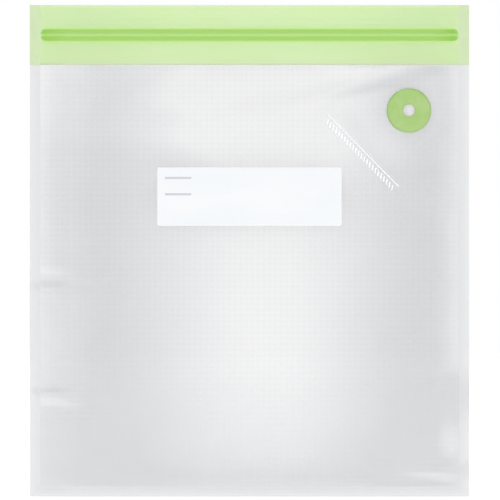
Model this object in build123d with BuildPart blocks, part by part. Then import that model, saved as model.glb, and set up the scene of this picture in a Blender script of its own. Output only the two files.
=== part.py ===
from build123d import *
import os

os.makedirs("parts", exist_ok=True)

# Reusable press-to-close vacuum bag, standing on its bottom edge.
# Frame: +Z up from the bottom edge to the mouth, the front face looks along -Y,
# +X runs to the right as the front is seen. The origin is the middle of the bottom edge.
# The middle plane is Y = 0. Millimetres throughout.

# ---- overall -------------------------------------------------------------------------
bag_width = 260.0
bag_height = 291.0
film_t = 0.2            # one film ply
seal_width = 6.0        # heat seal down both sides and along the bottom
gap = 0.1               # clearance between the heat seal and the parts inside it
cut_depth = 10.0        # deep enough to pass through any wall or valve piece

# ---- header band ---------------------------------------------------------------------
header_height = 35.5
header_bottom = bag_height - header_height
header_inner = 1.2      # inner face of a header band, from the middle plane
lap = 6.0               # height of the film tucked behind the header band
trim_height = 60.0      # block that cuts the film off level with the header band
trim_depth = 60.0

# ---- shallow pocket that each wall makes when the empty bag is relaxed ---------------
pocket_depth = 4.0      # outer face of a wall, from the middle plane
flat_half_width = 108.5
flat_bottom = 26.0
flat_top = 246.0
film_half_width = bag_width / 2 - seal_width - gap
film_bottom = seal_width + gap

# The top slope passes through header_bottom at header_inner; it is extended to Y = 0.
top_slope = (flat_top - header_bottom) / (pocket_depth - header_inner)
pocket_top_at_middle = header_bottom - top_slope * header_inner

# distance from the middle plane, half width, bottom, top
pocket_sections = (
    (0.0, film_half_width, film_bottom, pocket_top_at_middle),
    (pocket_depth, flat_half_width, flat_bottom, flat_top),
)

# ---- middle panel of each wall, which moves out as the bag fills ---------------------
panel_half_width = 100.0
panel_bottom = 30.0
panel_top = 206.0
panel_gap = 0.2

# ---- double zip ----------------------------------------------------------------------
zip_z = 273.2           # centre line of the double zip
zip_pitch = 4.1         # between the two closing ribs
rib_heights = (zip_z - zip_pitch / 2, zip_z + zip_pitch / 2)
flange_half_length = 123.6
flange_height = 9.0
flange_t = 0.4
flange_face = header_inner - flange_t   # inner face of a flange, from the middle plane
rail_half_length = 122.9
rail_height = 7.4
rail_end_depth = 6.0    # depth of the slot-shaped block that rounds the rail ends
rib_end_start = 1.0     # front of that block on the ribs, from the middle plane
jaw_half_width = 1.3
jaw_top = 0.55          # how far the jaws reach past the middle plane
cavity_width = 1.3
cavity_end = 0.25
mouth_width = 0.96      # slot between the jaw tips
bead_radius = 0.45      # head of the rib
bead_y = -0.15
stem_width = 0.5

# ---- one-way air valve ---------------------------------------------------------------
valve_centre = (94.1, 228.3)    # x, z
film_hole_d = 10.0
ring_d = 26.2
ring_port_d = 7.1
ring_height = 2.1       # above the film
ring_fillet = 1.1
adhesive_t = 0.1
adhesive_margin = 0.1   # adhesive kept back from both edges of the ring's foot
seat_d = 18.0
seat_t = 0.6
seat_recess_d = 18.4
flap_d = 12.0
flap_t = 0.3
flap_recess_d = 13.4
flap_recess_top = 1.35  # above the film
vent_d = 1.2
vent_circle_radius = 3.2
vent_count = 4          # round the central vent
filter_d = 16.0
filter_t = 0.3
filter_hole_radius = 0.5
filter_hole_circles = ((1.6, 6), (3.4, 10))     # circle radius, number of holes

# ---- write-on label ------------------------------------------------------------------
label_width = 108.4
label_height = 34.4
label_z = 177.3
label_t = 0.1
label_corner_radius = 0.6


def front(distance):
    """Sketch plane this far in front of the middle plane: local x is +X, local y is +Z."""
    return Plane.XZ.offset(distance)


def centred_rectangle(half_width, bottom, top, mode=Mode.ADD):
    """Draw a rectangle centred on X = 0 in the current sketch."""
    with Locations((0, (bottom + top) / 2)):
        Rectangle(2 * half_width, top - bottom, mode=mode)


def save(builder, name):
    """Label a finished piece and write its STEP file."""
    part = builder.part
    part.label = name
    export_step(part, f"parts/{name}.step")


def make_plate(name, distance, thickness, half_width, bottom, top):
    """Flat sheet; a positive thickness runs forwards from the given distance."""
    with BuildPart() as plate:
        with BuildSketch(front(distance)):
            centred_rectangle(half_width, bottom, top)
        extrude(amount=thickness)
    save(plate, name)


def make_film(name, side, has_air_hole):
    """Wall film with a shallow pocket and a window; side is 1 for front, -1 for back."""
    with BuildPart() as film:
        # solid pocket, then the same shape one film ply further in taken away
        for setback, mode in ((0.0, Mode.ADD), (film_t, Mode.SUBTRACT)):
            for distance, half_width, bottom, top in pocket_sections:
                with BuildSketch(front(side * (distance - setback))):
                    centred_rectangle(half_width, bottom, top)
            loft(mode=mode)
        # trim level with the header band
        with BuildSketch(Plane.XY.offset(header_bottom)):
            Rectangle(2 * bag_width, trim_depth)
        extrude(amount=trim_height, mode=Mode.SUBTRACT)
        # lap welded behind the header band
        with BuildSketch(front(side * header_inner)):
            centred_rectangle(film_half_width, header_bottom, header_bottom + lap)
        extrude(amount=-side * film_t)
        # window for the middle panel
        with BuildSketch(front(0)):
            centred_rectangle(
                panel_half_width + panel_gap, panel_bottom - panel_gap, panel_top + panel_gap
            )
        extrude(amount=side * cut_depth, mode=Mode.SUBTRACT)
        if has_air_hole:
            with BuildSketch(front(0)):
                with Locations(valve_centre):
                    Circle(film_hole_d / 2)
            extrude(amount=side * cut_depth, mode=Mode.SUBTRACT)
    save(film, name)


# ======================================================================================
# Heat seal: both films fused down the sides and along the bottom
# ======================================================================================
with BuildPart() as heat_seal:
    with BuildSketch(front(0)):
        centred_rectangle(bag_width / 2, 0, bag_height)
        centred_rectangle(
            bag_width / 2 - seal_width, seal_width, bag_height, mode=Mode.SUBTRACT
        )
    extrude(amount=film_t, both=True)
save(heat_seal, "heat_seal")

# ======================================================================================
# Walls: film, middle panel and header band; only the front film has an air hole
# ======================================================================================
for side_name, side in (("front", 1), ("back", -1)):
    make_film(f"{side_name}_film", side, has_air_hole=side == 1)
    make_plate(
        f"{side_name}_film_panel",
        distance=side * pocket_depth,
        thickness=-side * film_t,
        half_width=panel_half_width,
        bottom=panel_bottom,
        top=panel_top,
    )
    make_plate(
        f"{side_name}_header_band",
        distance=side * header_inner,
        thickness=side * film_t,
        half_width=film_half_width,
        bottom=header_bottom,
        top=bag_height,
    )

# ======================================================================================
# Double zip: two grooved rails on the front, two beaded ribs on the back.
# Both are drawn across the zip, where local x is +Y and local y is +Z.
# ======================================================================================
with BuildPart() as female_zip_track:
    with BuildSketch(Plane.YZ.offset(-rail_half_length)):
        for z in rib_heights:
            with Locations(((jaw_top - flange_face) / 2, z)):
                Rectangle(jaw_top + flange_face, 2 * jaw_half_width)
            with Locations(((cavity_end - flange_face) / 2, z)):
                Rectangle(cavity_end + flange_face, cavity_width, mode=Mode.SUBTRACT)
            with Locations(((cavity_end + jaw_top) / 2, z)):
                Rectangle(jaw_top - cavity_end, mouth_width, mode=Mode.SUBTRACT)
    extrude(amount=2 * rail_half_length)
    # rounded ends
    with BuildSketch(front(header_inner)):
        with Locations((0, zip_z)):
            SlotOverall(2 * rail_half_length, rail_height)
    extrude(amount=-rail_end_depth, mode=Mode.INTERSECT)
    # flange against the front header band
    with BuildSketch(front(header_inner)):
        with Locations((0, zip_z)):
            SlotOverall(2 * flange_half_length, flange_height)
    extrude(amount=-flange_t)
save(female_zip_track, "female_zip_track")

with BuildPart() as male_zip_track:
    with BuildSketch(Plane.YZ.offset(-rail_half_length)):
        for z in rib_heights:
            with Locations(((flange_face + bead_y) / 2, z)):
                Rectangle(flange_face - bead_y, stem_width)
            with Locations((bead_y, z)):
                Circle(bead_radius)
    extrude(amount=2 * rail_half_length)
    # rounded ends
    with BuildSketch(front(rib_end_start)):
        with Locations((0, zip_z)):
            SlotOverall(2 * rail_half_length, rail_height)
    extrude(amount=-rail_end_depth, mode=Mode.INTERSECT)
    # flange against the back header band
    with BuildSketch(front(-header_inner)):
        with Locations((0, zip_z)):
            SlotOverall(2 * flange_half_length, flange_height)
    extrude(amount=flange_t)
save(male_zip_track, "male_zip_track")

# ======================================================================================
# One-way air valve on the front film
# ======================================================================================
with BuildPart() as valve_adhesive_ring:
    with BuildSketch(front(pocket_depth)):
        with Locations(valve_centre):
            Circle(ring_d / 2 - adhesive_margin)
            Circle(seat_recess_d / 2 + adhesive_margin, mode=Mode.SUBTRACT)
    extrude(amount=adhesive_t)
save(valve_adhesive_ring, "valve_adhesive_ring")

# diameter, depth from the film's outer face
ring_cuts = (
    (seat_recess_d, seat_t),
    (flap_recess_d, flap_recess_top),
    (ring_port_d, cut_depth),
)

with BuildPart() as valve_ring:
    with BuildSketch(front(pocket_depth + adhesive_t)):
        with Locations(valve_centre):
            Circle(ring_d / 2)
    extrude(amount=ring_height - adhesive_t)
    front_edge = valve_ring.edges().filter_by(GeomType.CIRCLE).sort_by(Axis.Y)[0]
    fillet(front_edge, radius=ring_fillet)
    for diameter, depth in ring_cuts:
        with BuildSketch(front(pocket_depth)):
            with Locations(valve_centre):
                Circle(diameter / 2)
        extrude(amount=depth, mode=Mode.SUBTRACT)
save(valve_ring, "valve_ring")

# flap that rests on the front of the seat
with BuildPart() as valve_membrane:
    with BuildSketch(front(pocket_depth + seat_t)):
        with Locations(valve_centre):
            Circle(flap_d / 2)
    extrude(amount=flap_t)
save(valve_membrane, "valve_membrane")

with BuildPart() as valve_seat:
    with BuildSketch(front(pocket_depth)):
        with Locations(valve_centre):
            Circle(seat_d / 2)
            Circle(vent_d / 2, mode=Mode.SUBTRACT)
            with PolarLocations(vent_circle_radius, vent_count):
                Circle(vent_d / 2, mode=Mode.SUBTRACT)
    extrude(amount=seat_t)
save(valve_seat, "valve_seat")

# perforated disc against the inner face of the front film
with BuildPart() as valve_filter:
    with BuildSketch(front(pocket_depth - film_t)):
        with Locations(valve_centre):
            Circle(filter_d / 2)
            for circle_radius, hole_count in filter_hole_circles:
                with PolarLocations(circle_radius, hole_count):
                    Circle(filter_hole_radius, mode=Mode.SUBTRACT)
    extrude(amount=-filter_t)
save(valve_filter, "valve_filter")

# ======================================================================================
# Write-on label, bonded to the front panel
# ======================================================================================
with BuildPart() as writing_label:
    with BuildSketch(front(pocket_depth)):
        with Locations((0, label_z)):
            RectangleRounded(label_width, label_height, label_corner_radius)
    extrude(amount=label_t)
save(writing_label, "writing_label")
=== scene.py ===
"""A flat film bag with a zip, a green header band, a round valve and a write-on label.

It stands in the XZ plane: X runs across the bag, Z runs up from its bottom edge at 0 to the
mouth, and the front wall faces -Y. Shapes are worked out in millimetres. In every function,
side is -1 for the front wall and 1 for the back wall.
"""

import math

import bpy
import numpy as np
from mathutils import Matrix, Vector


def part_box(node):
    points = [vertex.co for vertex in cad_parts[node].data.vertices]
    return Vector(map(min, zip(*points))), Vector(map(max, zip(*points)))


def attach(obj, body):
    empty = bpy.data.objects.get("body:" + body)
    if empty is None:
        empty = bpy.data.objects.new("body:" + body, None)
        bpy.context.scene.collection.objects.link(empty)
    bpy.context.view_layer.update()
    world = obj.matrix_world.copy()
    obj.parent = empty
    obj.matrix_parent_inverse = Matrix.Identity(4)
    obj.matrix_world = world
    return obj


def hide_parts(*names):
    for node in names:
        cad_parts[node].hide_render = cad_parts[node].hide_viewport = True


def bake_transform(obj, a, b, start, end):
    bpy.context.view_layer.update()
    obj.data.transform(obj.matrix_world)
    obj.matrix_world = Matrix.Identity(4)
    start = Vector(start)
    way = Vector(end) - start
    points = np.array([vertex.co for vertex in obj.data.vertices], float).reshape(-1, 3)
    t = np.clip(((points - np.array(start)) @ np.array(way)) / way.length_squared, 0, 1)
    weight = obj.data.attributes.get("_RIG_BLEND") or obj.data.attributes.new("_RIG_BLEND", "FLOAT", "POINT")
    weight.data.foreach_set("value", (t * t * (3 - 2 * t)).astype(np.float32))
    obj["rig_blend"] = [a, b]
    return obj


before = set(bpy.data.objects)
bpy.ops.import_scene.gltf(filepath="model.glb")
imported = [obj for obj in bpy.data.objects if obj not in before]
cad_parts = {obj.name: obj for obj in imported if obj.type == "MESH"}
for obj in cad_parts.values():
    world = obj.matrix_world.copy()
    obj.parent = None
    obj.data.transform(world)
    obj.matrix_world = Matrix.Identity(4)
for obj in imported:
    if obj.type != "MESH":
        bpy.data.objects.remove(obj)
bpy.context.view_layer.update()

# ------------------------------------------------------------------------------------
# Sizes, in millimetres, most of them read from the frame
# ------------------------------------------------------------------------------------
MM = 0.001
TAGS = {-1: "front", 1: "back"}


def node_box(name):
    low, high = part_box(name)
    return np.array(low) * 1000.0, np.array(high) * 1000.0


_, seal_high = node_box("heat_seal")
ring_low, ring_high = node_box("valve_ring")
zip_low, zip_high = node_box("female_zip_track")
label_low, label_high = node_box("writing_label")

HALF = seal_high[0]  # half width of the bag
TOP = seal_high[2]  # mouth edge
SEAL_WIDTH = 6.0
INNER = HALF - SEAL_WIDTH  # inner edge of the side seals
FOOT = SEAL_WIDTH  # inner edge of the bottom seal
BAND_Z = node_box("front_header_band")[0][2]  # lower edge of the header band
LAP_Z = BAND_Z + 1.2  # top of the film, lapped behind the band's lower edge
DEPTH = -node_box("front_film")[0][1]  # flat part of the wall, in front of the middle plane
FILM_T = 0.2  # film thickness
PLATEAU = 107.5  # the walls follow their bodies fully inside this half width
MIDDLE_TOP = 242.0  # the same, below this height
PITCH = 3.4  # of the embossed grid on the back wall

VALVE = ((ring_low[0] + ring_high[0]) / 2, (ring_low[2] + ring_high[2]) / 2)
RING_R = (ring_high[0] - ring_low[0]) / 2

ZIP_Z = (zip_low[2] + zip_high[2]) / 2
ZIP_HALF = zip_high[0]
FLANGE_HALF = 4.5  # half height of a zip flange, and the radius of its ends
ZIP_STRAIGHT = ZIP_HALF - FLANGE_HALF  # half length before the rounded ends

PATTERN = 300.0  # the UV square covers this much of the flat pattern, centred in X


# ------------------------------------------------------------------------------------
# How points follow the joints
# ------------------------------------------------------------------------------------
def ease(distance, over=1.0):
    """Rise smoothly from 0 to 1 while distance goes from 0 to over."""
    t = np.clip(distance / over, 0.0, 1.0)
    return t * t * (3.0 - 2.0 * t)


def valve_distance(x, z):
    return np.hypot(x - VALVE[0], z - VALVE[1])


def wall_weight(x, z):
    """0 on the side seals, 1 on the wall. Near the mouth it falls away as a lens."""
    half = np.abs(x)
    beyond = np.clip((half - PLATEAU) / (INNER - PLATEAU), 0.0, 1.0)
    box_like = np.sqrt(np.clip(1.0 - beyond * beyond, 0.0, 1.0))
    lens = np.clip(1.0 - np.clip(half / INNER, 0.0, 1.0) ** 3, 0.0, 1.0) ** 0.6
    mouth = ease(z - MIDDLE_TOP, over=34.0)
    return box_like * (1.0 - mouth) + lens * mouth


def fill_weight(x, z, side):
    """1 in the middle of a wall, 0 where the wall doesn't bulge."""
    across = 1.0 - ease(np.abs(x) - 12.0, over=92.0)
    up = ease(z - 9.0, over=84.0) * (1.0 - ease(z - 142.0, over=96.0))
    weight = across * up
    if side < 0:
        weight = weight * ease(valve_distance(x, z) - RING_R - 2.0, over=30.0)
    return weight


def rest_points(obj):
    """Each vertex's place on the flat pattern, in mm, from the UV map."""
    mesh = obj.data
    loops = np.zeros(len(mesh.loops), np.int32)
    mesh.loops.foreach_get("vertex_index", loops)
    uv = np.zeros(len(mesh.loops) * 2, np.float32)
    mesh.uv_layers[0].data.foreach_get("uv", uv)
    out = np.zeros((len(mesh.vertices), 2))
    out[loops] = uv.reshape(-1, 2)
    return out[:, 0] * PATTERN - PATTERN / 2, out[:, 1] * PATTERN


def set_weights(obj, body_a, body_b, weights):
    """Bend obj between two bodies with a weight for every vertex."""
    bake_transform(obj, body_a, body_b, start=(0, 0, 0), end=(0, 0, 1))
    attribute = obj.data.attributes["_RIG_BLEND"]
    attribute.data.foreach_set("value", np.asarray(weights, np.float32))


def bend_from_seal(obj, side):
    """Bend a piece that runs into the side seals."""
    set_weights(obj, "seal_frame", f"{TAGS[side]}_wall", wall_weight(*rest_points(obj)))


def bend_with_fill(obj, side):
    """Bend a piece that lies on the bulging part of a wall."""
    tag = TAGS[side]
    set_weights(obj, f"{tag}_wall", f"{tag}_middle", fill_weight(*rest_points(obj), side))


# ------------------------------------------------------------------------------------
# Shape of the walls before they are inflated
# ------------------------------------------------------------------------------------
def sines(place, *waves):
    """Sum of sines, each given as (height, scale, phase)."""
    return sum(height * np.sin(place / scale + phase) for height, scale, phase in waves)


def edge_wave(x, z):
    """Sealed edges are never quite straight: a slow wave in Y along the seals."""
    left = sines(z, (0.75, 31.0, 0.6), (0.35, 12.5, 2.0))
    right = sines(z, (0.7, 36.0, 2.4), (0.35, 14.5, 0.4))
    foot = sines(x, (0.35, 27.0, 1.0), (0.15, 11.0, 0.0))
    at_left = ease(-x - 108.0, over=16.0)
    at_right = ease(x - 108.0, over=16.0)
    at_foot = 1.0 - ease(z, over=30.0)
    return left * at_left + right * at_right + foot * at_foot * 0.6


def squeeze(x):
    """1 across the mouth, falling to 0 where the header is crushed into the side seals."""
    return ease(INNER + 0.5 - np.abs(x), over=15.0)


def header_height(x):
    """Outer face of the film lap, and inner face of the header band."""
    return 0.03 + 1.17 * squeeze(x)


def start_height(x, z):
    """Outer face of a wall before it is inflated: crowned, flat at the seals."""
    across = 1.0 - ease(np.abs(x) - 52.0, over=72.0)
    up = ease(z - FOOT, over=58.0)
    down = 1.0 - ease(z - 205.0, over=BAND_Z - 205.0)
    crown = 0.2 + 4.3 * across * up * (0.25 + 0.75 * down)
    # the sealed corners and the header hold the top edge in
    held = ease(z - 214.0, over=BAND_Z - 214.0)
    return np.maximum(crown * (1.0 - held) + header_height(x) * held, 0.02)


def flatten_at_valve(x, z, height, side):
    """The stiff valve keeps the film under it flat."""
    if side > 0:
        return height
    flat = 1.0 - ease(valve_distance(x, z) - RING_R - 0.6, over=24.0)
    # stay clear of the side seal
    flat = flat * ease(INNER - 0.5 - np.abs(x), over=14.5)
    return height * (1.0 - flat) + DEPTH * flat


# ------------------------------------------------------------------------------------
# Inflation: the walls are simulated on this grid, and everything else is read from it
# ------------------------------------------------------------------------------------
SIM_COUNT = 63  # grid lines each way
SIM_X = np.linspace(-INNER, INNER, SIM_COUNT)
SIM_Z = np.linspace(FOOT, BAND_Z, SIM_COUNT)
SIM_FRAMES = 26
MOVE_CAP = 3.6  # furthest that inflation may move the film

CLOTH = dict(
    quality=8,
    mass=0.02,
    air_damping=4.0,
    tension_stiffness=30,
    compression_stiffness=30,
    shear_stiffness=12,
    bending_stiffness=0.6,
    tension_damping=12,
    compression_damping=12,
    shear_damping=8,
    bending_damping=0.8,
    vertex_group_mass="pin",
    pin_stiffness=1.0,
    use_pressure=True,
    uniform_pressure_force=0.9,
    shrink_min=-0.004,
    shrink_max=-0.004,
)


def start_grid(side):
    x, z = np.meshgrid(SIM_X, SIM_Z)
    height = flatten_at_valve(x, z, start_height(x, z), side)
    return np.stack([x, side * height + edge_wave(x, z), z], axis=-1)


def even(field, times):
    """Smooth a grid of vectors, keeping its edges."""
    for _ in range(times):
        soft = field.copy()
        soft[1:-1] = 0.25 * field[:-2] + 0.5 * field[1:-1] + 0.25 * field[2:]
        field = soft.copy()
        field[:, 1:-1] = 0.25 * soft[:, :-2] + 0.5 * soft[:, 1:-1] + 0.25 * soft[:, 2:]
    return field


def pillow_faces():
    """Faces of the two wall grids, closed round their edge."""
    line = SIM_COUNT
    last = line - 1
    count = line * line
    faces = []
    for row in range(last):
        for column in range(last):
            first = row * line + column
            quad = (first, first + 1, first + line + 1, first + line)
            faces.append(quad)
            faces.append(tuple(count + quad[k] for k in (0, 3, 2, 1)))
    ring = (
        list(range(line))
        + [row * line + last for row in range(1, line)]
        + [last * line + column for column in range(last - 1, -1, -1)]
        + [row * line for row in range(last - 1, 0, -1)]
    )
    for here, after in zip(ring, ring[1:] + ring[:1]):
        faces.append((after, here, count + here, count + after))
    return faces


def pin_pillow(obj):
    """Hold both walls at their edges, and the front one under the valve."""
    group = obj.vertex_groups.new(name="pin")
    held = np.zeros((SIM_COUNT, SIM_COUNT), bool)
    held[0, :] = held[-1, :] = True
    held[:, 0] = held[:, -1] = True
    disc = valve_distance(*np.meshgrid(SIM_X, SIM_Z)) < RING_R + 2.0
    for pins, first in ((held | disc, 0), (held, held.size)):
        for k in np.nonzero(pins.ravel())[0]:
            group.add([int(first + k)], 1.0, "REPLACE")


def simulate(verts):
    """Blow up the pillow as cloth. Takes and returns points in mm."""
    mesh = bpy.data.meshes.new("sim_film")
    mesh.from_pydata((verts * MM).tolist(), [], pillow_faces())
    mesh.update()
    obj = bpy.data.objects.new("sim_film", mesh)
    bpy.context.scene.collection.objects.link(obj)
    pin_pillow(obj)
    cloth = obj.modifiers.new("Cloth", "CLOTH")
    for key, value in CLOTH.items():
        setattr(cloth.settings, key, value)
    cloth.settings.effector_weights.gravity = 0.0
    cloth.collision_settings.use_collision = False
    cloth.collision_settings.use_self_collision = False
    cloth.point_cache.frame_start = 1
    cloth.point_cache.frame_end = 30
    scene = bpy.context.scene
    for number in range(1, SIM_FRAMES + 1):
        scene.frame_set(number)
    depsgraph = bpy.context.evaluated_depsgraph_get()
    result = obj.evaluated_get(depsgraph).to_mesh()
    points = np.zeros(len(result.vertices) * 3, np.float32)
    result.vertices.foreach_get("co", points)
    obj.evaluated_get(depsgraph).to_mesh_clear()
    scene.frame_set(1)
    bpy.data.objects.remove(obj)
    return points.reshape(-1, 3).astype(float) / MM


def inflate(starts):
    """Inflate the two walls as one sealed pillow, and tame their movement."""
    points = simulate(np.concatenate([starts[side].reshape(-1, 3) for side in (-1, 1)]))
    count = SIM_COUNT * SIM_COUNT
    out = {}
    for side, first in ((-1, 0), (1, count)):
        start = starts[side]
        move = points[first : first + count].reshape(start.shape) - start
        # cap the movement, so that the walls stay in their space
        far = np.linalg.norm(move, axis=-1, keepdims=True)
        move = move * (MOVE_CAP * np.tanh(far / MOVE_CAP) / np.maximum(far, 1e-9))
        # the film is stiffer than the cloth: the finest ripples are taken out
        move = even(move, 2)
        if side < 0:
            # and more of them round the valve, where the film is stuck to a stiff ring
            distance = valve_distance(*np.meshgrid(SIM_X, SIM_Z))
            near = (1.0 - ease(distance - RING_R - 6.0, over=22.0))[..., None]
            move = move * (1.0 - near) + even(move, 12) * near
        out[side] = start + move
    return out


wall_grids = {side: start_grid(side) for side in (-1, 1)}
wall_grids = inflate(wall_grids)


def cubic_weights(t):
    """Catmull-Rom weights of four neighbours, t of the way from the second to the third."""
    t2, t3 = t * t, t * t * t
    return (
        0.5 * (-t3 + 2 * t2 - t),
        0.5 * (3 * t3 - 5 * t2 + 2),
        0.5 * (-3 * t3 + 4 * t2 + t),
        0.5 * (t3 - t2),
    )


def read_grid(grid, x, z):
    """Bicubic reading of a simulated wall at any points."""
    last = SIM_COUNT - 1
    across = np.clip((x - SIM_X[0]) / (SIM_X[1] - SIM_X[0]), 0, last - 1e-6)
    up = np.clip((z - SIM_Z[0]) / (SIM_Z[1] - SIM_Z[0]), 0, last - 1e-6)
    column, row = np.floor(across).astype(int), np.floor(up).astype(int)
    column_weights, row_weights = cubic_weights(across - column), cubic_weights(up - row)
    out = np.zeros(np.shape(x) + (3,))
    for j in range(4):
        near_row = np.clip(row + j - 1, 0, last)
        blend = np.zeros_like(out)
        for i in range(4):
            near_column = np.clip(column + i - 1, 0, last)
            blend += column_weights[i][..., None] * grid[near_row, near_column]
        out += row_weights[j][..., None] * blend
    return out


# ------------------------------------------------------------------------------------
# Creases
# ------------------------------------------------------------------------------------
# Each row: start (x, z), end (x, z), width, height, taper, kind, bow.
# taper is the share of the length over which the ends fade; bow bends the line sideways.
# A "step" lifts one side of the line over the other.
FRONT_CREASES = (
    ((118, 257), (26, 235), 5.0, 0.55, 0.35, "step", -2.5),
    ((66, 243), (-30, 222), 9.0, 0.38, 0.5, "step", -3.0),
    ((-112, 214), (-42, 196), 9.0, 0.40, 0.4, "step", 2.0),
    ((-70, 238), (8, 226), 7.0, 0.28, 0.5, "ridge", 2.0),
    ((-125, 129), (-88, 127), 4.6, 0.42, 0.6, "step", 0.0),
    ((-125, 121), (-100, 118), 3.6, 0.24, 0.6, "ridge", 0.0),
    ((-125, 60), (-86, 57), 4.6, 0.45, 0.6, "step", 0.0),
    ((-125, 52), (-96, 51), 3.6, 0.26, 0.6, "ridge", 0.0),
    ((126, 34), (108, 22), 5.5, 0.60, 0.6, "ridge", 0.0),
    ((128, 11.0), (84, 13.5), 2.6, 0.42, 0.5, "step", 0.0),
    ((122, 8.4), (60, 9), 1.8, 0.18, 0.5, "ridge", 0.0),
    ((124, 72), (104, 66), 4.0, 0.40, 0.6, "step", 0.0),
    ((-60, 10), (20, 9), 2.6, 0.16, 0.5, "ridge", 0.0),
    ((70, 60), (96, 150), 9.0, 0.22, 0.6, "ridge", 0.0),
    ((-78, 40), (-66, 150), 12.0, 0.22, 0.6, "ridge", 0.0),
    ((-20, 30), (60, 38), 10.0, 0.25, 0.6, "step", 0.0),
)
BACK_CREASES = (
    ((112, 250), (10, 228), 7.0, 0.4, 0.4, "step", 2.0),
    ((-118, 250), (-40, 214), 8.0, 0.45, 0.4, "step", 0.0),
    ((-124, 84), (-88, 80), 3.6, 0.5, 0.5, "step", 0.0),
    ((125, 132), (94, 128), 3.6, 0.5, 0.5, "step", 0.0),
    ((125, 40), (84, 22), 5.0, 0.5, 0.5, "ridge", 0.0),
    ((-122, 20), (-70, 12), 3.0, 0.4, 0.5, "step", 0.0),
    ((-66, 60), (-20, 190), 14.0, 0.3, 0.6, "ridge", 0.0),
)


def direction(start, end):
    """Length of the line from start to end, and its unit vector."""
    run, rise = end[0] - start[0], end[1] - start[1]
    length = math.hypot(run, rise)
    return length, run / length, rise / length


def crease(x, z, start, end, width, height, taper, kind, bow):
    length, ux, uz = direction(start, end)
    dx, dz = x - start[0], z - start[1]
    along = (dx * ux + dz * uz) / length
    off = -dx * uz + dz * ux - bow * np.sin(np.clip(along, 0, 1) * math.pi)
    ends = ease(along + taper * 0.5, over=taper) * ease(1 + taper * 0.5 - along, over=taper)
    if kind == "ridge":
        return height * np.exp(-((off / width) ** 2)) * ends
    return height * 1.6 * (off / width) * np.exp(-((off / width) ** 2)) * ends


def creases(x, z, side):
    """All creases of a wall, with a soft unevenness everywhere."""
    table = FRONT_CREASES if side < 0 else BACK_CREASES
    total = sum(crease(x, z, *row) for row in table)
    if side < 0:
        total += 0.10 * np.sin(x / 17.0 + 0.5 * np.sin(z / 23.0)) * np.sin(z / 29.0 + 1.1)
        total += 0.05 * np.sin(x / 7.3 + z / 19.0) * np.sin(z / 9.1 - x / 31.0 + 0.7)
    else:
        total += 0.12 * np.sin(x / 19.0 + 1.0) * np.sin(z / 26.0 + 0.4)
    return total


def wall_point(x, z, side, emboss=0.0):
    """Outer face of a wall at x, z (arrays), in mm."""
    point = read_grid(wall_grids[side], x, np.minimum(z, BAND_Z))
    from_side = INNER - np.abs(x)
    # keep the drawn positions: only Y is taken from the simulation near the seals
    free = np.minimum.reduce(
        [ease(from_side, over=10.0), ease(z - FOOT, over=10.0), ease(BAND_Z - z, over=10.0)]
    )
    wave = edge_wave(x, z)
    height = side * (point[..., 1] - wave)
    relief = ease(from_side, over=7.0) * ease(z - FOOT, over=6.0)
    relief = relief * ease(BAND_Z - 1.0 - z, over=9.0)
    # press the wall down towards the side and bottom seals
    low = ease(from_side, over=17.0) * ease(z - FOOT, over=15.0)
    height = height * (0.30 + 0.70 * low)
    height = height + creases(x, z, side) * relief
    height = flatten_at_valve(x, z, height, side)
    height = height + emboss * relief
    lap = ease(z - (BAND_Z - 3.0), over=3.0)
    height = height * (1 - lap) + header_height(x) * lap
    height = np.maximum(height, 0.02 + 0.18 * ease(BAND_Z - z, over=4.0))
    out = np.empty_like(point)
    out[..., 0] = x + (point[..., 0] - x) * free
    out[..., 1] = side * height + wave
    out[..., 2] = z + (point[..., 2] - z) * free
    return out


# ------------------------------------------------------------------------------------
# Mesh building
# ------------------------------------------------------------------------------------
def link(obj):
    bpy.context.scene.collection.objects.link(obj)
    return obj


def give(obj, material):
    obj.data.materials.clear()
    obj.data.materials.append(material)


def mesh_object(name, verts, faces, rest, sharp=40.0):
    """verts in mm. rest holds each vertex's place on the flat pattern, kept as the UV map."""
    mesh = bpy.data.meshes.new(name)
    mesh.from_pydata((np.asarray(verts) * MM).tolist(), [], faces)
    mesh.update()
    uv = mesh.uv_layers.new(name="UVMap")
    loops = np.zeros(len(mesh.loops), np.int32)
    mesh.loops.foreach_get("vertex_index", loops)
    flat = np.asarray(rest, float)[loops]
    places = np.stack([(flat[:, 0] + PATTERN / 2) / PATTERN, flat[:, 1] / PATTERN], axis=1)
    uv.data.foreach_set("uv", places.astype(np.float32).ravel())
    mesh.polygons.foreach_set("use_smooth", np.ones(len(mesh.polygons), bool))
    mesh.set_sharp_from_angle(angle=math.radians(sharp))
    mesh.validate()
    return link(bpy.data.objects.new(name, mesh))


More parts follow.
